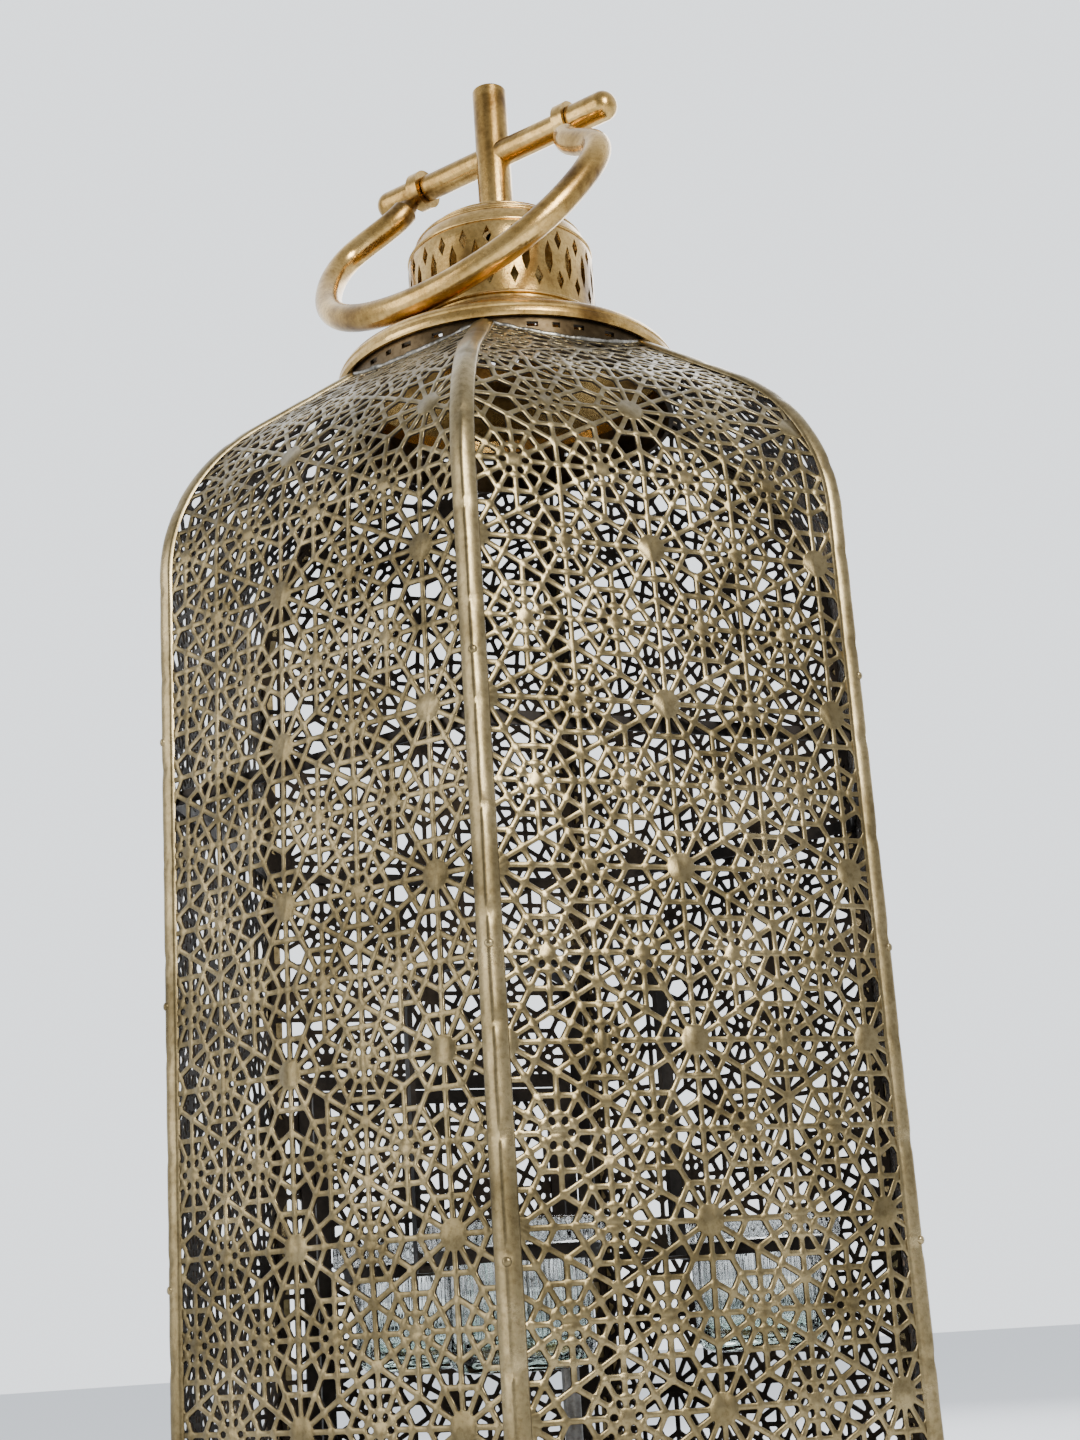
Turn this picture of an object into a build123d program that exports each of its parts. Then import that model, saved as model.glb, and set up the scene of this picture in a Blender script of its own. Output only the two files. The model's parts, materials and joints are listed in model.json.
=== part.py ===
from build123d import *
import math
import os

# Six-sided pierced brass lantern with a domed shoulder, a chimney cap and a carrying ring.
# Millimetres, +Z up, origin on the ground under the middle, a rib facing -Y.

# ---------------------------------------------------------------- driving dimensions
corner_radius = 180.0
apothem = corner_radius * math.cos(math.radians(30))
sheet = 1.2
side_azimuths = {
    "front_right": -60,
    "right": 0,
    "back_right": 60,
    "back_left": 120,
    "left": 180,
    "front_left": -120,
}
rib_azimuths = {
    "front": -90,
    "front_right": -30,
    "back_right": 30,
    "back": 90,
    "back_left": 150,
    "front_left": -150,
}

# heights
foot_height = 10.0
foot_radius = 9.0
foot_reach = 168.0
frame_top = 38.0
shoulder_z = 508.0
floor_z = 28.0
floor_thickness = 2.0
plinth_steps = ((190.0, 9.0), (187.0, 4.0), (184.0, 15.0))
plinth_inner = 164.0
plinth_hollow = 181.0
ledge_thickness = 2.0
floor_corner = 171.0
air_hole_radius = 6.0
air_hole_reach = 110.0
air_holes = 12

# domed shoulder, as seen square to one side
shoulder_radius = 102.6
shoulder_sweep = 51.1
neck_radius = 83.6
slope_reach = 60.0
seam_gap = 0.3
far_reach = 200.0

# ribs
rib_thickness = 1.6
rib_half_width = 6.1
rivet_radius = 1.7
rivet_heights = (70.0, 190.0, 310.0, 430.0)

# side sheets
side_half_width = 89.2
door_half_width = 70.0
door_bottom = 50.0
door_top = 290.0
door_gap = 0.8

# neck, collar and chimney
neck_bottom = 604.0
neck_top = 627.0
neck_wall = 2.4
neck_slots = ((16, 5.6), (24, 3.8), (32, 5.6), (44, 5.6))  # angle past a rib, width
slot_height = 2.6
slot_z = 621.6
collar_radius = 87.2
collar_edge_radius = 82.0
collar_edge_z = 635.4
collar_bottom = 625.4
collar_wall = 1.8
chimney_radius = 48.0
chimney_bottom = 654.6
chimney_shoulder_z = 692.5
chimney_corner = 25.0
chimney_corner_sweep = 72.0
chimney_wall = 1.4
chimney_seam_z = 697.0
chimney_holes = 24
diamond_width = 4.6
diamond_height = 11.0
low_diamond_z = 667.2
slit_width = 4.2
slit_height = 19.5
slit_z = 678.4
top_diamond_z = 689.4

# stem, crossbar and ring
stem_radius = 9.0
stem_bore = 6.4
stem_bottom = 714.0
stem_top = 801.0
bar_z = 761.0
bar_azimuth = -30
bar_radius = 7.0
bar_half_length = 45.4
pin_radius = 4.0
pin_half_length = 72.0
running_gap = 0.06
eye_inner = 45.8
eye_outer = 52.4
eye_radius = 10.5
cap_radius = 7.8
cap_start = 52.8
cap_length = 26.0
ring_rod_radius = 7.0
ring_half_width = 84.0
ring_half_depth = 70.0
ring_centre = 62.0
shank_dir = (0.3, 0.954)
shank_start = 9.8
shank_root = 3.0
shank_end = 18.5
ring_rest_tilt = 57.15

# cup carrier and cups
cup_azimuths = {"right": 25, "front": -95, "left": 145}
cup_distance = 95.0
hoop_bottom = 191.5
hoop_top = 197.5
hoop_inner = 32.3
hoop_outer = 35.3
arm_width = 10.0
arm_thickness = 3.0
hub_radius = 13.0
post_radius = 4.0
post_collar_radius = 22.0
nut_radius = 8.0
nut_height = 5.0
handle_azimuths = (85, 205, 325)
handle_reach = 69.0
handle_top = 330.0
handle_bend = 24.0
handle_width = 8.0
handle_thickness = 2.4
cup_bottom = 149.0
cup_top = 208.0
cup_body_radius = 30.6
cup_lip_radius = 40.4
cup_wall = 3.0
cup_floor = 6.0
cup_corner = 9.0
bore_corner = 8.0
lip_width = 3.0

# inner brace
brace_z = 400.0
brace_height = 6.0
brace_thickness = 1.6

# door fittings
hinge_heights = (92.0, 248.0)
hinge_axis_out = 3.5
knuckle_radius = 3.2
knuckle_length = 10.0
hinge_pin_radius = 1.5
hinge_leaf_width = 11.0
hinge_leaf_thickness = 1.2
latch_s = 76.5
latch_z = 170.0
latch_length = 17.0
latch_half_width = 3.4
latch_thickness = 1.5
latch_lift = 1.9
latch_pivot_radius = 1.8
knob_s = 52.0
knob_neck_radius = 3.0
knob_radius = 5.5
knob_length = 10.0
door_frame_width = 7.0
door_frame_thickness = 1.6

os.makedirs("parts", exist_ok=True)


# ---------------------------------------------------------------- helpers
def upright_plane(azimuth):
    """Upright plane through the axis; local x points outward, local y up."""
    a = math.radians(azimuth)
    return Plane(
        origin=(0, 0, 0),
        x_dir=(math.cos(a), math.sin(a), 0),
        z_dir=(math.sin(a), -math.cos(a), 0),
    )


def face_plane(azimuth, out):
    """Plane parallel to one side at distance out; local x along the side, local y up."""
    a = math.radians(azimuth)
    return Plane(
        origin=(out * math.cos(a), out * math.sin(a), 0),
        x_dir=(-math.sin(a), math.cos(a), 0),
        z_dir=(math.cos(a), math.sin(a), 0),
    )


def level_plane(azimuth, z):
    """Level plane turned so that local x points outward at the azimuth."""
    a = math.radians(azimuth)
    return Plane(origin=(0, 0, z), x_dir=(math.cos(a), math.sin(a), 0), z_dir=(0, 0, 1))


def export(part, name):
    part.label = name
    export_step(part, f"parts/{name}.step")


def six_sided(grow, bottom):
    """Solid inside the six sides, with the side surfaces moved outward by grow."""
    sweep = math.radians(shoulder_sweep)
    radius = shoulder_radius + grow
    centre = apothem - shoulder_radius
    arc_end = (centre + radius * math.cos(sweep), shoulder_z + radius * math.sin(sweep))
    run = arc_end[0] - slope_reach
    slope_end = (slope_reach, arc_end[1] + run / math.tan(sweep))
    with BuildPart() as solid:
        for azimuth in (0, 60, 120):
            with BuildSketch(upright_plane(azimuth)):
                with BuildLine():
                    Line((0, bottom), (apothem + grow, bottom))
                    Line((apothem + grow, bottom), (apothem + grow, shoulder_z))
                    CenterArc((centre, shoulder_z), radius, 0, shoulder_sweep)
                    Line(arc_end, slope_end)
                    Line(slope_end, (0, slope_end[1]))
                    mirror(about=Plane.YZ)
                make_face()
            mode = Mode.ADD if azimuth == 0 else Mode.INTERSECT
            extrude(amount=corner_radius * 1.2, both=True, mode=mode)
    return solid.part


outer_skin = six_sided(0.0, frame_top)
inner_skin = six_sided(-sheet, frame_top - 5)
rib_skin = six_sided(rib_thickness, frame_top)

# ---------------------------------------------------------------- base
# Stepped hexagonal plinth, hollow underneath, with an inner ledge for the floor
with BuildPart() as base_frame:
    step_z = foot_height
    for step_radius, step_height in plinth_steps:
        with BuildSketch(Plane.XY.offset(step_z)):
            RegularPolygon(radius=step_radius, side_count=6, rotation=30)
        extrude(amount=step_height)
        step_z += step_height
    chamfer(base_frame.faces().sort_by(Axis.Z)[-1].edges(), length=1.2)
    with BuildSketch(Plane.XY.offset(foot_height)):
        RegularPolygon(radius=plinth_hollow, side_count=6, rotation=30)
    extrude(amount=floor_z - ledge_thickness - foot_height, mode=Mode.SUBTRACT)
    for inner_radius, z in ((plinth_inner, foot_height), (floor_corner, floor_z)):
        with BuildSketch(Plane.XY.offset(z)):
            RegularPolygon(radius=inner_radius, side_count=6, rotation=30)
        extrude(amount=frame_top, mode=Mode.SUBTRACT)
export(base_frame.part, "base_frame")

# Floor plate with air holes round the post
with BuildPart() as base_plate:
    with BuildSketch(Plane.XY.offset(floor_z)):
        RegularPolygon(radius=floor_corner - 0.4, side_count=6, rotation=30)
        Circle(post_radius + 0.1, mode=Mode.SUBTRACT)
        with PolarLocations(air_hole_reach, air_holes):
            Circle(air_hole_radius, mode=Mode.SUBTRACT)
    extrude(amount=floor_thickness)
export(base_plate.part, "base_plate")

# Round feet in the corners, standing up to the ledge
leg_height = floor_z - ledge_thickness
with BuildPart() as feet:
    with PolarLocations(foot_reach, 6, start_angle=30):
        with Locations((0, 0, leg_height / 2)):
            Cylinder(radius=foot_radius, height=leg_height)
    fillet(feet.edges().group_by(Axis.Z)[0], radius=3.5)
export(feet.part, "feet")

# ---------------------------------------------------------------- sides
for name, azimuth in side_azimuths.items():
    with BuildPart() as panel:
        with BuildSketch(face_plane(azimuth, apothem - sheet)):
            with Locations((0, (frame_top + shoulder_z) / 2)):
                Rectangle(2 * side_half_width, shoulder_z - frame_top)
            if name == "back_left":
                with Locations((0, (door_bottom + door_top) / 2)):
                    Rectangle(2 * door_half_width, door_top - door_bottom, mode=Mode.SUBTRACT)
        extrude(amount=sheet)
    export(panel.part, f"panel_{name}")

for name, azimuth in side_azimuths.items():
    with BuildPart() as gore:
        with BuildSketch(level_plane(azimuth, shoulder_z)):
            half = far_reach * math.tan(math.radians(30)) - seam_gap
            Polygon((seam_gap, 0), (far_reach, half), (far_reach, -half), align=None)
        extrude(amount=neck_top - shoulder_z)
        add(outer_skin, mode=Mode.INTERSECT)
        add(inner_skin, mode=Mode.SUBTRACT)
        with BuildSketch(Plane.XY.offset(shoulder_z)):
            Circle(neck_radius)
        extrude(amount=far_reach, mode=Mode.SUBTRACT)
    export(gore.part, f"dome_{name}")

# Corner strips bent over the joints, from the plinth to the neck
for name, azimuth in rib_azimuths.items():
    with BuildPart() as rib:
        with BuildSketch(level_plane(azimuth, frame_top)):
            with Locations((corner_radius / 2 + neck_radius / 2, 0)):
                Rectangle(corner_radius - neck_radius / 2, 2 * rib_half_width)
        extrude(amount=neck_top - frame_top - 2)
        add(rib_skin, mode=Mode.INTERSECT)
        add(outer_skin, mode=Mode.SUBTRACT)
        with BuildSketch(Plane.XY.offset(shoulder_z)):
            Circle(neck_radius)
        extrude(amount=far_reach, mode=Mode.SUBTRACT)
    export(rib.part, f"rib_{name}")

# Small rivet heads along the ridge of each corner strip
ridge_out = corner_radius + rib_thickness / math.cos(math.radians(30))
with BuildPart() as rib_rivets:
    for azimuth in rib_azimuths.values():
        for z in rivet_heights:
            with BuildSketch(face_plane(azimuth, ridge_out + 0.02)):
                with Locations((0, z)):
                    Circle(rivet_radius)
            extrude(amount=0.9, taper=25)
export(rib_rivets.part, "rib_rivets")

# Hexagonal strip that stiffens the sides from inside
with BuildPart() as inner_brace:
    brace_radius = (apothem - sheet - 0.2) / math.cos(math.radians(30))
    with BuildSketch(Plane.XY.offset(brace_z)):
        RegularPolygon(radius=brace_radius, side_count=6, rotation=30)
        RegularPolygon(
            radius=brace_radius - brace_thickness * 1.155,
            side_count=6,
            rotation=30,
            mode=Mode.SUBTRACT,
        )
    extrude(amount=brace_height)
export(inner_brace.part, "inner_brace")

# ---------------------------------------------------------------- neck and top
# Slotted band that the domed sides meet
with BuildPart() as neck_ring:
    with BuildSketch(Plane.XY.offset(neck_bottom)):
        Circle(neck_radius - 0.2)
        Circle(neck_radius - 0.2 - neck_wall, mode=Mode.SUBTRACT)
    extrude(amount=neck_top - neck_bottom)
    for azimuth in rib_azimuths.values():
        for step, width in neck_slots:
            with BuildSketch(face_plane(azimuth + step, neck_radius - 8)):
                with Locations((0, slot_z)):
                    Rectangle(width, slot_height)
            extrude(amount=16, mode=Mode.SUBTRACT)
export(neck_ring.part, "neck_ring")

# Thin spun collar: rounded rim over the neck, cone up to the chimney
with BuildPart() as collar:
    with BuildSketch(Plane.XZ):
        with BuildLine():
            foot_out = (collar_radius - 1.2, collar_bottom)
            rim = (collar_radius, collar_bottom + 1.6)
            edge = (collar_edge_radius, collar_edge_z)
            peak = (chimney_radius + 1.4, chimney_bottom)
            peak_in = (chimney_radius - 1.6, chimney_bottom)
            peak_low = (chimney_radius - 1.6, chimney_bottom - 1.4)
            edge_in = (collar_edge_radius - 1.4, collar_edge_z - collar_wall)
            seat_top = (neck_radius - 0.2, neck_top + 0.05)
            seat = (neck_radius, neck_top + 0.05)
            foot_in = (neck_radius + 1.0, collar_bottom)
            Line(foot_in, foot_out)
            Line(foot_out, rim)
            ThreePointArc(rim, (collar_radius - 1.5, collar_edge_z - 3.0), edge)
            Line(edge, peak)
            Line(peak, peak_in)
            Line(peak_in, peak_low)
            Line(peak_low, edge_in)
            Line(edge_in, (neck_radius - 2.6, neck_top + 0.05))
            Line((neck_radius - 2.6, neck_top + 0.05), seat)
            Line(seat, foot_in)
        make_face()
    revolve(axis=Axis.Z)
export(collar.part, "collar")

# Pierced chimney: upright wall with three staggered rows of openings, domed cap on top
top_hole = stem_radius + 0.05


def corner_point(radius, angle):
    """Point on the rounded corner of the chimney's side profile."""
    a = math.radians(angle)
    middle = chimney_radius - chimney_corner
    return (middle + radius * math.cos(a), chimney_shoulder_z + radius * math.sin(a))


def crown_point(radius, out):
    """Point on the shallow cone that runs from the rounded corner up to the stem."""
    end = corner_point(radius, chimney_corner_sweep)
    return (out, end[1] + (end[0] - out) * math.tan(math.radians(90 - chimney_corner_sweep)))


with BuildPart() as chimney:
    with BuildSketch(Plane.XZ):
        with BuildLine():
            outer, inner = chimney_corner, chimney_corner - chimney_wall
            half, full = chimney_corner_sweep / 2, chimney_corner_sweep
            wall_foot = (chimney_radius, chimney_bottom + 0.05)
            bore_foot = (chimney_radius - chimney_wall, chimney_bottom + 0.05)
            Line(bore_foot, wall_foot)
            Line(wall_foot, corner_point(outer, 0))
            ThreePointArc(corner_point(outer, 0), corner_point(outer, half), corner_point(outer, full))
            Line(corner_point(outer, full), crown_point(outer, top_hole))
            Line(crown_point(outer, top_hole), crown_point(inner, top_hole))
            Line(crown_point(inner, top_hole), corner_point(inner, full))
            ThreePointArc(corner_point(inner, full), corner_point(inner, half), corner_point(inner, 0))
            Line(corner_point(inner, 0), bore_foot)
        make_face()
    revolve(axis=Axis.Z)
    pitch = 360 / chimney_holes
    for number in range(chimney_holes):
        azimuth = bar_azimuth + number * pitch
        with BuildSketch(face_plane(azimuth, chimney_radius - 6)):
            for z in (low_diamond_z, top_diamond_z):
                Polygon(
                    (0, z - diamond_height / 2),
                    (diamond_width / 2, z),
                    (0, z + diamond_height / 2),
                    (-diamond_width / 2, z),
                    align=None,
                )
        extrude(amount=12, mode=Mode.SUBTRACT)
        with BuildSketch(face_plane(azimuth + pitch / 2, chimney_radius - 6)):
            Polygon(
                (0, slit_z - slit_height / 2),
                (slit_width / 2, slit_z - slit_height / 6),
                (slit_width / 2, slit_z + slit_height / 6),
                (0, slit_z + slit_height / 2),
                (-slit_width / 2, slit_z + slit_height / 6),
                (-slit_width / 2, slit_z - slit_height / 6),
                align=None,
            )
        extrude(amount=12, mode=Mode.SUBTRACT)

with BuildPart() as chimney_drum:
    add(chimney.part)
    split(bisect_by=Plane.XY.offset(chimney_seam_z), keep=Keep.BOTTOM)
export(chimney_drum.part, "chimney_drum")

with BuildPart() as chimney_cap:
    add(chimney.part)
    split(bisect_by=Plane.XY.offset(chimney_seam_z + 0.05), keep=Keep.TOP)
export(chimney_cap.part, "chimney_cap")

# Upright tube, open at the top, bored across for the bar
bar_plane = face_plane(bar_azimuth, 0)
with BuildPart() as stem:
    with BuildSketch(Plane.XY.offset(stem_bottom)):
        Circle(stem_radius)
        Circle(stem_bore, mode=Mode.SUBTRACT)
    extrude(amount=stem_top - stem_bottom)
    fillet(stem.edges().group_by(Axis.Z)[-1].sort_by(SortBy.RADIUS)[-1], radius=1.2)
    with BuildSketch(bar_plane):
        with Locations((0, bar_z)):
            Circle(bar_radius + 0.05)
    extrude(amount=30, both=True, mode=Mode.SUBTRACT)
export(stem.part, "stem")

with BuildPart() as crossbar:
    with BuildSketch(bar_plane):
        with Locations((0, bar_z)):
            Circle(bar_radius)
            Circle(pin_radius + 0.02, mode=Mode.SUBTRACT)
    extrude(amount=bar_half_length, both=True)
    chamfer(crossbar.edges().filter_by(GeomType.CIRCLE).sort_by(SortBy.RADIUS)[-2:], length=0.6)
export(crossbar.part, "crossbar")

with BuildPart() as crossbar_pin:
    with BuildSketch(bar_plane):
        with Locations((0, bar_z)):
            Circle(pin_radius)
    extrude(amount=pin_half_length, both=True)
export(crossbar_pin.part, "crossbar_pin")

# Domed end caps screwed on the pin
with BuildPart() as end_caps:
    for turn in (0, 180):
        with BuildSketch(face_plane(bar_azimuth + turn, cap_start)):
            with Locations((0, bar_z)):
                Circle(cap_radius)
        extrude(amount=cap_length)
    tip_x = (cap_start + cap_length) * math.cos(math.radians(bar_azimuth))
    outer_rims = end_caps.edges().filter_by(GeomType.CIRCLE)
    tips = outer_rims.filter_by(lambda e: abs(e.arc_center.X) > 0.95 * tip_x)
    fillet(tips, radius=cap_radius - 0.6)
    with BuildSketch(bar_plane):
        with Locations((0, bar_z)):
            Circle(pin_radius + 0.02)
    extrude(amount=pin_half_length + 0.5, both=True, mode=Mode.SUBTRACT)
export(end_caps.part, "end_caps")

# Carrying ring, drawn flat with local x along the bar and local y down the ring
eye_middle = (eye_inner + eye_outer) / 2


def ring_point(angle):
    """Point on the oval middle line of the ring."""
    return (
        ring_half_width * math.cos(math.radians(angle)),
        ring_centre + ring_half_depth * math.sin(math.radians(angle)),
    )


def shank_point(turn, distance):
    """Point on the shank that joins an eye to the oval; turn is 1 or -1."""
    return (turn * (eye_middle + shank_dir[0] * distance), shank_dir[1] * distance)


# One half of the bent rod, from its shank to the bottom of the oval
with BuildPart() as ring_rod:
    with BuildLine() as ring_path:
        Spline(
            shank_point(1, shank_end),
            *[ring_point(angle) for angle in (-15, 15, 50, 90)],
            tangents=(shank_dir, (-1, 0)),
            tangent_scalars=(1, 1),
        )
    with BuildSketch(Plane(origin=ring_path.line @ 0, z_dir=ring_path.line % 0)):
        Circle(ring_rod_radius)
    sweep(path=ring_path.line)

# Eye on a tapered shank joined to the rod, then the other half
with BuildPart() as ring:
    shank_axis = (shank_dir[0], shank_dir[1], 0)
    with BuildSketch(Plane(origin=(*shank_point(1, shank_start), 0), z_dir=shank_axis)):
        Circle(shank_root)
    with BuildSketch(Plane(origin=(*shank_point(1, shank_end + 0.5), 0), z_dir=shank_axis)):
        Circle(ring_rod_radius)
    loft()
    with BuildSketch(Plane.YZ.offset(eye_middle)):
        Circle(eye_radius)
    extrude(amount=(eye_outer - eye_inner) / 2, both=True)
    add(ring_rod.part)
    with BuildSketch(Plane.YZ):
        Circle(pin_radius + running_gap)
    extrude(amount=60, both=True, mode=Mode.SUBTRACT)
    mirror(about=Plane.YZ)

# Hung on the bar and laid over against the collar
ring_place = Location((0, 0, bar_z)) * Rotation(0, 0, bar_azimuth) * Rotation(-180 + ring_rest_tilt, 0, 0)
export(ring.part.moved(ring_place), "ring")

# ---------------------------------------------------------------- cup carrier
# Hub, three arms and three hoops in one welded piece
with BuildPart() as cup_carrier:
    with BuildSketch(Plane.XY.offset(hoop_bottom)):
        Circle(hub_radius)
        for azimuth in cup_azimuths.values():
            with Locations(Rot(Z=azimuth) * Pos((cup_distance - hoop_inner) / 2, 0)):
                Rectangle(cup_distance - hoop_inner - 1, arm_width)
        Circle(post_radius + 0.02, mode=Mode.SUBTRACT)
    extrude(amount=arm_thickness)
    for azimuth in cup_azimuths.values():
        with BuildSketch(level_plane(azimuth, hoop_bottom)):
            with Locations((cup_distance, 0)):
                Circle(hoop_outer)
                Circle(hoop_inner, mode=Mode.SUBTRACT)
        extrude(amount=hoop_top - hoop_bottom)
    # short arms that the lifting handle stands on
    with BuildSketch(Plane.XY.offset(hoop_bottom)):
        for azimuth in handle_azimuths:
            with Locations(Rot(Z=azimuth) * Pos(handle_reach / 2, 0)):
                Rectangle(handle_reach, handle_width)
        Circle(post_radius + 0.02, mode=Mode.SUBTRACT)
    extrude(amount=arm_thickness)
export(cup_carrier.part, "cup_carrier")

# Post from the floor up to the hub, with a shoulder under the floor and one under the hub
with BuildPart() as carrier_post:
    with BuildSketch(Plane.XY.offset(floor_z - 6)):
        Circle(post_radius)
    extrude(amount=hoop_bottom + 14 - floor_z + 6)
    with BuildSketch(Plane.XY.offset(floor_z + floor_thickness)):
        Circle(post_collar_radius)
        Circle(post_radius, mode=Mode.SUBTRACT)
    extrude(amount=3)
    fillet(carrier_post.edges().filter_by(GeomType.CIRCLE).sort_by(SortBy.RADIUS)[-1], radius=0.8)
    with BuildSketch(Plane.XY.offset(hoop_bottom - 4)):
        Circle(8)
        Circle(post_radius, mode=Mode.SUBTRACT)
    extrude(amount=4)
export(carrier_post.part, "carrier_post")

# Nuts that clamp the post to the floor and the carrier to the post
with BuildPart() as post_nuts:
    for z in (floor_z - nut_height, hoop_bottom + arm_thickness):
        with BuildSketch(Plane.XY.offset(z)):
            RegularPolygon(radius=nut_radius, side_count=6)
            Circle(post_radius + 0.02, mode=Mode.SUBTRACT)
        extrude(amount=nut_height)
export(post_nuts.part, "post_nuts")

# Three-legged strap handle for lifting the carrier out
with BuildPart() as carrier_handle:
    handle_foot = hoop_bottom + arm_thickness
    handle_rise = handle_top - handle_foot
    for azimuth in handle_azimuths:
        with BuildSketch(upright_plane(azimuth)):
            with Locations((0, handle_foot)):
                RectangleRounded(2 * handle_reach, 2 * handle_rise, handle_bend)
                RectangleRounded(
                    2 * (handle_reach - handle_thickness),
                    2 * (handle_rise - handle_thickness),
                    handle_bend - handle_thickness,
                    mode=Mode.SUBTRACT,
                )
                Rectangle(
                    2 * corner_radius,
                    2 * handle_rise,
                    align=(Align.CENTER, Align.MAX),
                    mode=Mode.SUBTRACT,
                )
                Rectangle(
                    corner_radius,
                    4 * handle_rise,
                    align=(Align.MAX, Align.CENTER),
                    mode=Mode.SUBTRACT,
                )
        extrude(amount=handle_width / 2, both=True)
    with BuildSketch(Plane.XY.offset(handle_top - handle_thickness)):
        Circle(hub_radius)
        Circle(5, mode=Mode.SUBTRACT)
    extrude(amount=handle_thickness)
export(carrier_handle.part, "carrier_handle")

# ---------------------------------------------------------------- glass cups
def corner_arc(centre, radius, start):
    """Quarter circle in the cup's side profile, given by its centre and first angle."""
    points = []
    for angle in (start, start + 45, start + 90):
        a = math.radians(angle)
        points.append((centre[0] + radius * math.cos(a), centre[1] + radius * math.sin(a)))
    return points


for name, azimuth in cup_azimuths.items():
    with BuildPart() as cup:
        with BuildSketch(Plane.XZ):
            with BuildLine():
                body = cup_body_radius
                bore = cup_body_radius - cup_wall
                lip = cup_lip_radius
                shelf = hoop_top + 0.02
                foot = (body - cup_corner, cup_bottom + cup_corner)
                well = (bore - bore_corner, cup_bottom + cup_floor + bore_corner)
                ThreePointArc(*corner_arc(foot, cup_corner, -90))
                Polyline(
                    (body, foot[1]),
                    (body, shelf),
                    (lip - 2, shelf),
                    (lip, shelf + 2),
                    (lip, cup_top - 1),
                    (lip - 1, cup_top),
                    (lip - lip_width, cup_top),
                    (bore, hoop_top - 2),
                    (bore, well[1]),
                )
                ThreePointArc(*corner_arc(well, bore_corner, -90))
                Polyline(
                    (well[0], cup_bottom + cup_floor),
                    (0, cup_bottom + cup_floor),
                    (0, cup_bottom),
                    (foot[0], cup_bottom),
                )
            make_face()
        revolve(axis=Axis.Z)
    cup_place = Rot(Z=azimuth) * Pos(cup_distance, 0, 0)
    export(cup.part.moved(cup_place), f"cup_{name}")

# ---------------------------------------------------------------- door in the back left side
door_azimuth = side_azimuths["back_left"]
leaf_half_width = door_half_width - door_gap
leaf_height = door_top - door_bottom - 2 * door_gap
leaf_middle = (door_top + door_bottom) / 2

with BuildPart() as door_leaf:
    with BuildSketch(face_plane(door_azimuth, apothem - sheet)):
        with Locations((0, leaf_middle)):
            Rectangle(2 * leaf_half_width, leaf_height)
    extrude(amount=sheet)
export(door_leaf.part, "door_leaf")

# Strip round the inside of the door leaf
with BuildPart() as door_strip:
    with BuildSketch(face_plane(door_azimuth, apothem - sheet - door_frame_thickness)):
        with Locations((0, leaf_middle)):
            Rectangle(2 * leaf_half_width, leaf_height)
            Rectangle(
                2 * (leaf_half_width - door_frame_width),
                leaf_height - 2 * door_frame_width,
                mode=Mode.SUBTRACT,
            )
    extrude(amount=door_frame_thickness)
export(door_strip.part, "door_strip")

# Strip round the inside of the door opening
with BuildPart() as door_jamb:
    with BuildSketch(face_plane(door_azimuth, apothem - sheet - door_frame_thickness)):
        with Locations((0, leaf_middle)):
            Rectangle(
                2 * (door_half_width + door_frame_width),
                door_top - door_bottom + 2 * door_frame_width,
            )
            Rectangle(2 * door_half_width, door_top - door_bottom, mode=Mode.SUBTRACT)
    extrude(amount=door_frame_thickness)
export(door_jamb.part, "door_jamb")


def hinge_half(side, low, high):
    """One half of a hinge: a leaf on the given side of the axis and a knuckle round it."""
    hinge_s = door_half_width
    leaf_near = hinge_s - side * door_gap
    leaf_far = hinge_s + side * hinge_leaf_width
    with BuildPart() as half:
        with BuildSketch(face_plane(door_azimuth, apothem)):
            with Locations(((leaf_near + leaf_far) / 2, (low + high) / 2)):
                Rectangle(abs(leaf_far - leaf_near), high - low)
        extrude(amount=hinge_leaf_thickness)
        with BuildSketch(level_plane(door_azimuth, low)):
            with Locations((apothem + hinge_axis_out, hinge_s)):
                Circle(knuckle_radius)
        extrude(amount=high - low)
    return half.part


# Knuckles on the frame carry the pins; knuckles on the door turn on them
with BuildPart() as hinge_fixed:
    for z in hinge_heights:
        add(hinge_half(1, z - knuckle_length, z - 0.2))
    for z in hinge_heights:
        with BuildSketch(level_plane(door_azimuth, z - knuckle_length - 1)):
            with Locations((apothem + hinge_axis_out, door_half_width)):
                Circle(hinge_pin_radius + 0.01)
        extrude(amount=knuckle_length + 2, mode=Mode.SUBTRACT)
export(hinge_fixed.part, "hinge_fixed")

with BuildPart() as hinge_moving:
    for z in hinge_heights:
        add(hinge_half(-1, z + 0.2, z + knuckle_length))
    for z in hinge_heights:
        with BuildSketch(level_plane(door_azimuth, z - 1)):
            with Locations((apothem + hinge_axis_out, door_half_width)):
                Circle(hinge_pin_radius + running_gap)
        extrude(amount=knuckle_length + 2, mode=Mode.SUBTRACT)
export(hinge_moving.part, "hinge_moving")

with BuildPart() as hinge_pins:
    for z in hinge_heights:
        with BuildSketch(level_plane(door_azimuth, z - knuckle_length)):
            with Locations((apothem + hinge_axis_out, door_half_width)):
                Circle(hinge_pin_radius)
        extrude(amount=2 * knuckle_length + 0.6)
        with BuildSketch(level_plane(door_azimuth, z + knuckle_length + 0.4)):
            with Locations((apothem + hinge_axis_out, door_half_width)):
                Circle(2.6)
        extrude(amount=1.6, taper=20)
export(hinge_pins.part, "hinge_pins")

with BuildPart() as door_knob:
    for radius, low, high in ((knob_neck_radius, 0, 6), (knob_radius, 5, knob_length)):
        with BuildSketch(face_plane(door_azimuth, apothem + low)):
            with Locations((-knob_s, latch_z)):
                Circle(radius)
        extrude(amount=high - low)
    knob_edges = door_knob.edges().filter_by(GeomType.CIRCLE)
    fillet(knob_edges.filter_by(lambda e: e.radius > knob_neck_radius + 1), radius=1.8)
export(door_knob.part, "door_knob")

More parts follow.
